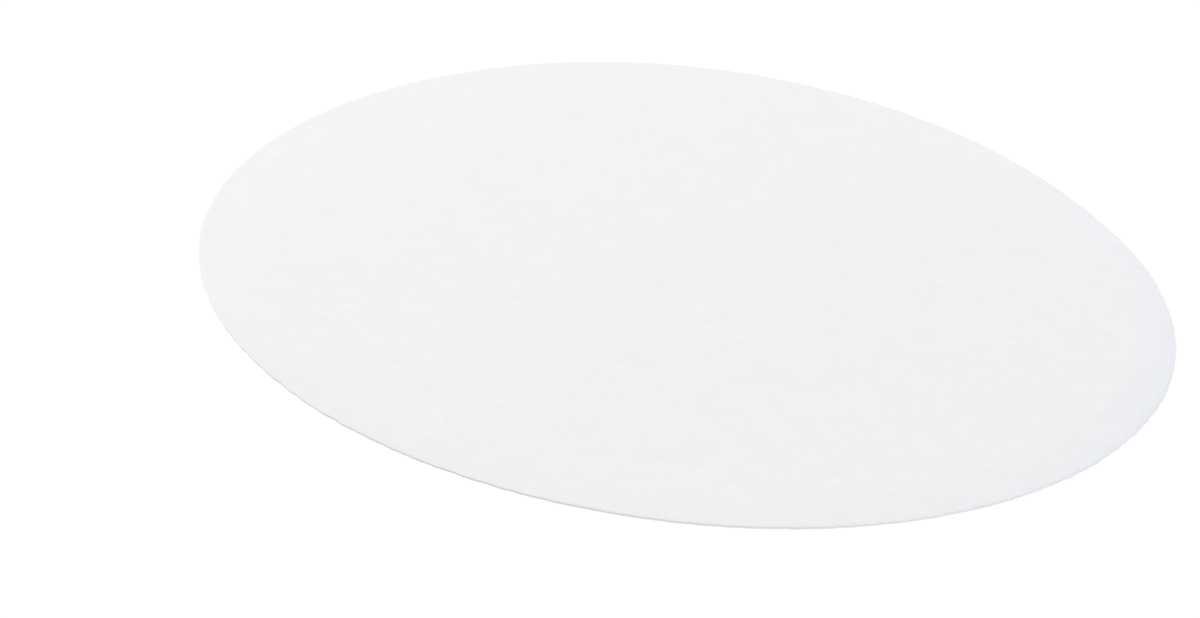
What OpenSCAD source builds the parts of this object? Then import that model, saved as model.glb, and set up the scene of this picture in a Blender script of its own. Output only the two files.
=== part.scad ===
// Filter paper disc: one flat round of soft, matt white cellulose paper,
// punched out of the sheet by a round die. It lies on its lower face. The
// origin is at the centre of that face, and +Z runs up through the paper.

/* [Disc] */
// Diameter across the cut edge
disc_d = 125; // [55:1:240]
// Thickness of the paper, inside the pressed rim
paper_t = 0.2; // [0.12:0.01:0.5]

/* [Cut edge] */
// Width of the band around the rim that the die pressed down as it cut
nip_w = 0.6; // [0.2:0.05:2]
// How far that band has sunk below the upper face at the cut
nip_depth = 0.02; // [0.01:0.002:0.03]
// Radius of the upper corner, rolled over where the die went in
entry_r = 0.05; // [0.02:0.005:0.06]
// Radius of the lower corner, almost sharp, where the die came out
exit_r = 0.01; // [0.005:0.001:0.02]

/* [Hidden] */

disc_facets = 240;
corner_facets = 32;

disc_r = disc_d / 2;
band_slope = atan(nip_depth / nip_w);

// Centres of the corner arcs, with x counted outwards from the cut edge: the
// upper arc touches the sloping band and the cut, the lower one the cut and
// the lower face.
entry_drop = (entry_r + (nip_w - entry_r) * sin(band_slope)) / cos(band_slope);
entry_c = [-entry_r, paper_t - entry_drop];
exit_c = [-exit_r, exit_r];

// Half of the section, from the axis to the cut edge. The outline turns in to
// the centre of each arc, and a circle there fills the round corner.
module half_section() {
    translate([disc_r, 0]) {
        polygon([
            [-disc_r, 0],
            [-exit_r, 0],
            exit_c,
            [0, exit_r],
            [0, entry_c.y],
            entry_c,
            entry_c + entry_r * [sin(band_slope), cos(band_slope)],
            [-nip_w, paper_t],
            [-disc_r, paper_t]
        ]);
        translate(entry_c)
            circle(r = entry_r, $fn = corner_facets);
        translate(exit_c)
            circle(r = exit_r, $fn = corner_facets);
    }
}

// The disc, turned about its own axis
module paper_disc() {
    color("#F2F2F1")
        rotate_extrude($fn = disc_facets)
            half_section();
}

paper_disc();
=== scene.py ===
import math

import bmesh
import bpy
from mathutils import Matrix, Vector, noise


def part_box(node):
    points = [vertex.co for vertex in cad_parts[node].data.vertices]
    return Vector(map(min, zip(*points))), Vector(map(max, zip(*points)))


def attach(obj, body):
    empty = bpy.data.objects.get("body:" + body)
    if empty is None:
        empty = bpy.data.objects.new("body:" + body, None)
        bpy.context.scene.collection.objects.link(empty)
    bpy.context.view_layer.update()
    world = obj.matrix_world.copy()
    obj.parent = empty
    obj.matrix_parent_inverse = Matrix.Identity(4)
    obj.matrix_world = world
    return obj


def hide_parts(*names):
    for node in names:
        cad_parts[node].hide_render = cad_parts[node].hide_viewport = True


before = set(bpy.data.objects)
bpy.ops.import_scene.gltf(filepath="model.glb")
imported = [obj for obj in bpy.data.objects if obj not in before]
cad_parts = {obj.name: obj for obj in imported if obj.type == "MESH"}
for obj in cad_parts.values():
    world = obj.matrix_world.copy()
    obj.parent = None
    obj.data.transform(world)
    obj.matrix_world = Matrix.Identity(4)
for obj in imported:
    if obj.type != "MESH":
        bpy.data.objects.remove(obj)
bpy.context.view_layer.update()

mm = 0.001  # metres
discLow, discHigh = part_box("paper_disc")
discRadius = discHigh.x
paperThick = discHigh.z - discLow.z
print("frame loaded: a disc", round(2 * discRadius / mm, 1), "mm across")

scene = bpy.context.scene
scene.view_settings.view_transform = "Standard"


def linear(code):
    # an sRGB hex colour as the linear values that shaders and lamps take
    shares = [int(code[i:i + 2], 16) / 255 for i in (1, 3, 5)]
    return [c / 12.92 if c <= 0.04045 else ((c + 0.055) / 1.055) ** 2.4 for c in shares]


def opaque(code):
    return linear(code) + [1]


def newTree(owner):
    # the empty node tree of a material or of the sky
    owner.use_nodes = True
    owner.node_tree.nodes.clear()
    return owner.node_tree


def addNode(tree, kind, inputs=None, **settings):
    # each input takes a plain value, or another node's output that feeds it
    node = tree.nodes.new(kind)
    for name, value in settings.items():
        setattr(node, name, value)
    for name, value in (inputs or {}).items():
        if isinstance(value, bpy.types.NodeSocket):
            tree.links.new(value, node.inputs[name])
        else:
            node.inputs[name].default_value = value
    return node


def addMath(tree, operation, *terms):
    node = addNode(tree, "ShaderNodeMath", dict(enumerate(terms)), operation=operation)
    return node.outputs[0]


# a long lens held low over the table and tipped a little to one side
camera = {
    "lens": 72,  # mm
    "sensor": 36,  # mm across
    "nearest": 0.005,  # metres, and the farthest that it sees
    "farthest": 50,
    "elevation": 27.72,  # degrees above the table
    "roll": 6.06,  # degrees
    "distance": 4.744,  # from the point aimed at, in disc radii
    "aimAcross": -0.171,  # that point, from the middle of the disc, in radii
    "aimAlong": -0.253,
}


def makeCamera():
    lens = bpy.data.cameras.new("camera")
    lens.lens = camera["lens"]
    lens.sensor_width = camera["sensor"]
    lens.clip_start = camera["nearest"]
    lens.clip_end = camera["farthest"]
    tilt = math.radians(camera["elevation"])
    back = Vector((0, -math.cos(tilt), math.sin(tilt)))
    aim = Vector((camera["aimAcross"], camera["aimAlong"], 0)) * discRadius
    facing = back.to_track_quat("Z", "Y").to_matrix().to_4x4()
    roll = Matrix.Rotation(math.radians(camera["roll"]), 4, "Z")
    away = back * camera["distance"] * discRadius
    shot = bpy.data.objects.new("camera", lens)
    shot.matrix_world = Matrix.Translation(aim + away) @ facing @ roll
    scene.collection.objects.link(shot)
    scene.camera = shot


makeCamera()
print("camera placed")


# the paper disc, as it lies on a table after it was cut
sheet = {
    "steps": 540,  # faces round the rim
    "wedges": 20,  # they are turned as one wedge, which is then copied round
    "ringGap": 0.9 * mm,  # between the rings of both faces
    "rimGap": 0.45 * mm,  # the same in the outer part, where the sheet bends down
    "rimPart": 6 * mm,  # width of that part
    "weldGap": 0.0005 * mm,
    "nipWidth": 0.6 * mm,  # band along the rim that the die pressed down
    "nipDepth": 0.02 * mm,
    "entryRound": 0.05 * mm,  # upper corner, rolled over where the die went in
    "entrySteps": 4,
    "exitRound": 0.01 * mm,  # lower corner, nearly sharp
    "exitSteps": 2,
    "cornerProfile": 0.5,  # of both corners, 0.5 being an arc
    "arch": 0.84 * mm,  # height of the middle over the table
    "bend": 0.12 * mm,  # how far the rim bends down from the rest
    "bendRight": 0.95 * mm,  # added to it at the right end
    "bendNear": 0.07 * mm,  # and at the near end
    "bendWidth": 5.0 * mm,  # how far in from the rim the bend starts
    "bendPower": 1.3,  # 1 is a straight slope down to the rim
    "restRight": 0.37,  # how far along the disc the rim lies on the table at the right,
    "restLeft": 0.0,  # and at the left, the far end being 1
    "freeSpan": 0.5,  # and over how much it then rises until it stands free
    "cockle": 0.09 * mm,  # slow waves from the damp in the air
    "cockleLength": 16 * mm,
    "cockleShift": (3.1, 7.7, 0.4),  # which part of the endless waves lies here
    "cockleAtRim": 0.15,  # share of the waves left at the rim
    "floc": 0.006 * mm,  # small hills where the fibres lie thicker
    "flocLength": 3 * mm,
    "flocLayers": 3,  # of hills on hills
    "flocFiner": 2.0,  # how much finer each layer is than the one before
    "flocDrop": 0.8,  # how fast they lose height
    "flocApart": 10 * mm,  # between what the upper and the lower face take
    "wander": 0.16 * mm,  # the most that the fibrous cut may stray from a true circle
    "wanderLength": 1.2 * mm,
}
rimStart = discRadius - sheet["rimPart"]


def archHeight(across, along):
    # a low arch that stands up most at the far rim; both places run from -1 to 1
    return sheet["arch"] * (1 + along) * (1 - across ** 2)


def bendHeight(across, along):
    # how much higher the sheet lies inside than at its rim
    right = max(across, 0) ** 2 * (1 - along ** 2)
    near = max(-along, 0) ** 2
    return sheet["bend"] + sheet["bendRight"] * right + sheet["bendNear"] * near


def sheetHeight(x, y):
    across = x / discRadius
    along = y / discRadius
    inside = archHeight(across, along) + bendHeight(across, along)
    # the rim comes down to the table, apart from the far part, which stands free;
    # at the very middle, where no way leads outwards, any small reach will do
    reach = math.hypot(x, y) or mm
    rimAcross = x / reach
    rimAlong = y / reach
    rest = sheet["restRight"] if x > 0 else sheet["restLeft"]
    free = min(max((rimAlong - rest) / sheet["freeSpan"], 0), 1)
    free *= free * (3 - 2 * free)  # an ease in and out
    fall = (archHeight(rimAcross, rimAlong) + bendHeight(rimAcross, rimAlong)) * (1 - free)
    rim = max(1 - (discRadius - reach) / sheet["bendWidth"], 0) ** sheet["bendPower"]
    wave = noise.noise(Vector((x, y, 0)) / sheet["cockleLength"] + Vector(sheet["cockleShift"]))
    cockle = sheet["cockle"] * wave * (1 - (1 - sheet["cockleAtRim"]) * rim)
    return inside - fall * rim + cockle


def sortMesh(bm):
    # a spin leaves its edges and faces in an order that changes from run to run, so
    # they are put in the order of their verts, which stays
    bm.verts.index_update()
    count = len(bm.verts)

    def rank(part):
        number = 0
        for index in sorted(vert.index for vert in part.verts)[:3]:
            number = number * count + index
        return number

    bm.edges.sort(key=rank)
    bm.faces.sort(key=rank)


def spinDisc():
    # the flat disc, turned from half of its section: from the middle of the lower
    # face out to the cut, and back to the middle of the upper face
    bm = bmesh.new()
    corners = [
        (0, 0),
        (rimStart, 0),
        (discRadius, 0),
        (discRadius, paperThick - sheet["nipDepth"]),
        (discRadius - sheet["nipWidth"], paperThick),
        (rimStart, paperThick),
        (0, paperThick),
    ]
    verts = [bm.verts.new((x, 0, z)) for x, z in corners]
    for pair in zip(verts, verts[1:]):
        bm.edges.new(pair)
    for corner, name in ((verts[2], "exit"), (verts[3], "entry")):
        bmesh.ops.bevel(bm, geom=[corner], offset=sheet[name + "Round"],
                        segments=sheet[name + "Steps"], offset_type="OFFSET",
                        affect="VERTICES", profile=sheet["cornerProfile"], material=-1)
    # the long spans of the inner part are divided first, then those of the outer part
    parts = ((rimStart, sheet["ringGap"]), (sheet["rimPart"], sheet["rimGap"]))
    for width, gap in parts:
        spans = [edge for edge in bm.edges if edge.calc_length() > width / 2]
        cuts = round(spans[0].calc_length() / gap) - 1
        bmesh.ops.subdivide_edges(bm, edges=spans, cuts=cuts)
    print("section of", len(bm.verts), "points")

    # turned in two goes, as one long spin takes far longer
    turn = {"cent": (0, 0, 0), "axis": (0, 0, 1)}
    bmesh.ops.spin(bm, geom=bm.verts[:] + bm.edges[:], angle=2 * math.pi / sheet["wedges"],
                   steps=sheet["steps"] // sheet["wedges"], use_merge=False, **turn)
    bmesh.ops.spin(bm, geom=bm.verts[:] + bm.edges[:] + bm.faces[:], angle=2 * math.pi,
                   steps=sheet["wedges"], use_merge=True, use_duplicate=True, **turn)
    bmesh.ops.remove_doubles(bm, verts=bm.verts, dist=sheet["weldGap"])
    bmesh.ops.recalc_face_normals(bm, faces=bm.faces)
    sortMesh(bm)
    return bm


def shapeSheet(bm):
    # the cut wanders, the pulp lies in small hills, and the whole sheet arches
    for vert in bm.verts:
        x, y, z = vert.co
        reach = math.hypot(x, y)
        if reach > rimStart:
            share = ((reach - rimStart) / sheet["rimPart"]) ** 2
            wander = noise.noise(Vector((x, y, 0)) / sheet["wanderLength"])
            stray = 1 + share * sheet["wander"] * wander / reach
            vert.co.x *= stray
            vert.co.y *= stray
        side = 1 if z > paperThick / 2 else -1
        place = Vector((x, y, side * sheet["flocApart"] / 2)) / sheet["flocLength"]
        hills = noise.fractal(place, sheet["flocDrop"], sheet["flocFiner"], sheet["flocLayers"])
        vert.co.z = z + side * sheet["floc"] * hills + sheetHeight(x, y)
    lowest = min(vert.co.z for vert in bm.verts)
    bmesh.ops.translate(bm, verts=bm.verts, vec=(0, 0, discLow.z - lowest))


def buildSheet():
    bm = spinDisc()
    shapeSheet(bm)
    mesh = bpy.data.meshes.new("paper_sheet")
    bm.to_mesh(mesh)
    bm.free()
    for face in mesh.polygons:
        face.use_smooth = True
    piece = bpy.data.objects.new("paper_sheet", mesh)
    scene.collection.objects.link(piece)
    return piece


paperSheet = buildSheet()
print("sheet built:", len(paperSheet.data.polygons), "faces")


# uncoated filter paper, laid wet from cotton linters on a wire mould and never
# pressed glossy: matt white, clouded where the fibres lie thicker, with single
# fibres that stand out of the face and a fine tooth between them; the lower face
# keeps the weave of the wire, and the cut shows the paper's thin layers
paper = {
    "high": "#F4F4F4",  # colour of the fibres and hills
    "low": "#EFEFEF",  # colour of the hollows, where some light is lost
    "cut": "#F4F0E8",  # painted light: the cut is tinted a little creamier, standing in for light that comes through it and warming the cool window light that falls on it
    "highShare": 0.65,  # share of the full height where the one colour is reached
    "lowShare": 0.15,  # and the other
    # each pattern's length and height in mm, how many finer ones lie on it and how
    # strong each of them is
    "cloud": {"length": 4.0, "height": 0.014, "detail": 3.0, "rough": 0.55},
    # three times as long as the real tooth, or it would not show
    "tooth": {"length": 0.35, "height": 0.012, "detail": 2.0, "rough": 0.6},
    # its length is from one bend of a fibre to the next
    "fibre": {"length": 1.6, "height": 0.008, "detail": 1.0, "rough": 0.4},
    # along the cut
    "layer": {"length": 0.4, "height": 0.02, "detail": 2.0, "rough": 0.6},
    # twice the real pitch, or it would not show
    "wire": {"length": 1.0, "height": 0.012, "detail": 1.0, "rough": 0.5},
    "fibreWidth": 0.1,  # mm, four times the real one, or it would not show
    "fibreStretch": 2.2,  # how much longer a bend is along the fibre's way than across
    "fibreWays": 5,
    "fibreSlope": 0.7,  # how much the wave that a fibre follows changes over its length
    "wayTurn": 0.3,  # turn of the first way, in steps from one way to the next
    "wayShift": (17.3, 9.1, 3.7),  # mm between the ways' patterns, so that none repeats
    "layerThick": 0.05,  # mm, one layer of torn fibres
    "wireSway": 0.3,  # how far the wires stray, 0 being straight
    "cutTilt": 0.3,  # how far a face points up or down where the cut ends,
    "flatTilt": 0.7,  # and where the upper and the lower face begin
    "roughness": 0.92,
    "gloss": 0.1,  # specular level: a face of loose fibres mirrors next to nothing
}
noiseMiddle = 0.5  # of what a noise node gives
waveFineness = 20  # the wave node's own pattern is this much finer than its scale says


def addNoise(tree, place, grain):
    node = addNode(tree, "ShaderNodeTexNoise", {
        "Vector": place,
        "Scale": 1 / grain["length"],
        "Detail": grain["detail"],
        "Roughness": grain["rough"],
    })
    return node.outputs[0]


def addFibres(tree, place):
    # a fibre is drawn where a slow wave crosses its middle, and the ways lie crosswise
    fibre = paper["fibre"]
    halfWidth = paper["fibreSlope"] * paper["fibreWidth"] / 2 / fibre["length"]
    fibres = 0
    for way in range(paper["fibreWays"]):
        turned = addNode(tree, "ShaderNodeMapping", {
            "Vector": place,
            "Location": Vector(paper["wayShift"]) * way,
            "Rotation": (0, 0, math.pi * (way + paper["wayTurn"]) / paper["fibreWays"]),
            "Scale": (1 / paper["fibreStretch"], 1, 1),
        })
        wave = addNoise(tree, turned.outputs[0], fibre)
        off = addMath(tree, "ABSOLUTE", addMath(tree, "SUBTRACT", wave, noiseMiddle))
        line = addNode(tree, "ShaderNodeMapRange",
                       {"Value": off, "From Max": halfWidth, "To Min": 1, "To Max": 0},
                       interpolation_type="SMOOTHSTEP")
        fibres = addMath(tree, "MAXIMUM", fibres, line.outputs[0])
    return fibres


def addLayers(tree, place, onCut):
    layer = paper["layer"]
    pressed = addNode(tree, "ShaderNodeMapping", {
        "Vector": place,
        "Scale": (1, 1, layer["length"] / paper["layerThick"]),
    })
    return addMath(tree, "MULTIPLY", addNoise(tree, pressed.outputs[0], layer), onCut)


def addWeave(tree, place, onLower):
    wire = paper["wire"]
    weave = onLower
    for direction in ("X", "Y"):
        wires = addNode(tree, "ShaderNodeTexWave", {
            "Vector": place,
            "Scale": 2 * math.pi / waveFineness / wire["length"],
            "Distortion": paper["wireSway"],
            "Detail": wire["detail"],
            "Detail Roughness": wire["rough"],
        }, bands_direction=direction)
        weave = addMath(tree, "MULTIPLY", weave, wires.outputs["Fac"])
    return weave


def addHeights(tree, patterns, total=0):
    # every pattern gives a share of its own height
    for name, pattern in patterns.items():
        total = addMath(tree, "MULTIPLY_ADD", pattern, paper[name]["height"], total)
    return total


def makePaper():
    skin = bpy.data.materials.new("uncoated_filter_paper")
    tree = newTree(skin)
    # the patterns run in millimetres
    coords = addNode(tree, "ShaderNodeTexCoord")
    inMm = addNode(tree, "ShaderNodeMapping",
                   {"Vector": coords.outputs["Object"], "Scale": [1 / mm] * 3})
    place = inMm.outputs[0]

    # the cut looks sideways and the lower face down
    up = addNode(tree, "ShaderNodeSeparateXYZ", {0: coords.outputs["Normal"]}).outputs["Z"]
    onCut = addNode(tree, "ShaderNodeMapRange", {
        "Value": addMath(tree, "ABSOLUTE", up),
        "From Min": paper["cutTilt"],
        "From Max": paper["flatTilt"],
        "To Min": 1,
        "To Max": 0,
    }).outputs[0]
    onLower = addNode(tree, "ShaderNodeMapRange", {
        "Value": up,
        "From Min": -paper["cutTilt"],
        "From Max": -paper["flatTilt"],
    }).outputs[0]

    # the height of the pulp sets the colour, and all of the height the bump
    pulp = {
        "cloud": addNoise(tree, place, paper["cloud"]),
        "tooth": addNoise(tree, place, paper["tooth"]),
        "fibre": addFibres(tree, place),
    }
    marks = {
        "layer": addLayers(tree, place, onCut),
        "wire": addWeave(tree, place, onLower),
    }
    pulpHeight = addHeights(tree, pulp)
    height = addHeights(tree, marks, pulpHeight)
    fullHeight = sum(paper[name]["height"] for name in pulp)
    share = addNode(tree, "ShaderNodeMapRange", {"Value": pulpHeight, "From Max": fullHeight})
    tint = addNode(tree, "ShaderNodeValToRGB", {"Fac": share.outputs[0]})
    for stop, name in zip(tint.color_ramp.elements, ("low", "high")):
        stop.position = paper[name + "Share"]
        stop.color = opaque(paper[name])
    # a colour mix takes its share at 0 and its colours at 6 and 7, and gives them at 2
    # on the cut the colour turns to the painted creamy tint, a painted warming of the light
    # there
    colour = addNode(tree, "ShaderNodeMix",
                     {0: onCut, 6: tint.outputs["Color"], 7: opaque(paper["cut"])},
                     data_type="RGBA")
    bump = addNode(tree, "ShaderNodeBump", {"Height": height, "Strength": 1.0, "Distance": mm})
    shader = addNode(tree, "ShaderNodeBsdfPrincipled", {
        "Base Color": colour.outputs[2],
        "Roughness": paper["roughness"],
        "Specular IOR Level": paper["gloss"],
        "Normal": bump.outputs["Normal"],
    })
    addNode(tree, "ShaderNodeOutputMaterial", {"Surface": shader.outputs[0]})
    return skin


paperSheet.data.materials.append(makePaper())
print("paper material made")

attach(paperSheet, "root")
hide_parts("paper_disc")


# the table and the studio around it, white wherever nothing shades them
studio = {
    "tableSize": 8.0,  # metres
    "tableColour": "#F3F3F3",
    "tableLift": 0.17,  # light added to what is seen of the table, round the disc
    "liftStart": 0.15,  # metres from the disc's middle, from where it rises to full white
    "liftEnd": 0.6,
    "skyColour": "#FFFEFD",
    "skyStrength": 0.691,
    "seenColour": "#FFFFFF",  # what the camera sees behind the table
    "keyPlace": (-1.11, 1.11, 1.23),  # metres: far off behind the disc, to the left
    "keySize": (1.4, 1.4),  # metres
    "keyPower": 22.5,  # watts
    "keyColour": "#FFFFFF",
    "fillPlace": (1.819, -0.810, 0.105),  # a low strip of window light from the right
    "fillSize": (1.2, 0.2),
    "fillPower": 16.5,
    "fillColour": "#AFCFFF",
}


def seenFactor(tree):
    # 1 where the camera looks, also through glass or in a mirror, and 0 for the light itself
    path = addNode(tree, "ShaderNodeLightPath")
    seen = path.outputs["Is Camera Ray"]
    for ray in ("Is Glossy Ray", "Is Transmission Ray"):
        seen = addMath(tree, "MAXIMUM", seen, path.outputs[ray])
    return seen


def makeTable():
    bm = bmesh.new()
    bmesh.ops.create_grid(bm, x_segments=1, y_segments=1, size=studio["tableSize"] / 2)
    mesh = bpy.data.meshes.new("table")
    bm.to_mesh(mesh)
    bm.free()
    table = bpy.data.objects.new("table", mesh)
    scene.collection.objects.link(table)
    top = bpy.data.materials.new("matt_white_card")
    tree = newTree(top)
    matt = addNode(tree, "ShaderNodeBsdfDiffuse", {"Color": opaque(studio["tableColour"])})
    # seen directly, the table is lifted to white, and more so away from the disc
    coords = addNode(tree, "ShaderNodeTexCoord")
    away = addNode(tree, "ShaderNodeVectorMath", {0: coords.outputs["Object"]},
                   operation="LENGTH")
    lift = addNode(tree, "ShaderNodeMapRange", {
        "Value": away.outputs["Value"],
        "From Min": studio["liftStart"],
        "From Max": studio["liftEnd"],
        "To Min": studio["tableLift"],
    })
    glow = addMath(tree, "MULTIPLY", seenFactor(tree), lift.outputs[0])
    light = addNode(tree, "ShaderNodeEmission", {"Strength": glow})
    both = addNode(tree, "ShaderNodeAddShader", {0: matt.outputs[0], 1: light.outputs[0]})
    addNode(tree, "ShaderNodeOutputMaterial", {"Surface": both.outputs[0]})
    table.data.materials.append(top)


def makeSky():
    sky = bpy.data.worlds.new("studio")
    scene.world = sky
    tree = newTree(sky)
    soft = addNode(tree, "ShaderNodeBackground",
                   {"Color": opaque(studio["skyColour"]), "Strength": studio["skyStrength"]})
    plain = addNode(tree, "ShaderNodeBackground", {"Color": opaque(studio["seenColour"])})
    both = addNode(tree, "ShaderNodeMixShader",
                   {0: seenFactor(tree), 1: soft.outputs[0], 2: plain.outputs[0]})
    addNode(tree, "ShaderNodeOutputWorld", {"Surface": both.outputs[0]})


def makeLamp(name):
    lamp = bpy.data.lights.new(name, "AREA")
    lamp.shape = "RECTANGLE"
    lamp.size, lamp.size_y = studio[name + "Size"]
    lamp.energy = studio[name + "Power"]
    lamp.color = linear(studio[name + "Colour"])
    place = Vector(studio[name + "Place"])
    # it shines down its own -Z, towards the middle of the disc
    facing = place.to_track_quat("Z", "Y").to_matrix().to_4x4()
    box = bpy.data.objects.new(name, lamp)
    box.matrix_world = Matrix.Translation(place) @ facing
    scene.collection.objects.link(box)


makeTable()
makeSky()
for lampName in ("key", "fill"):
    makeLamp(lampName)
print("studio lit")
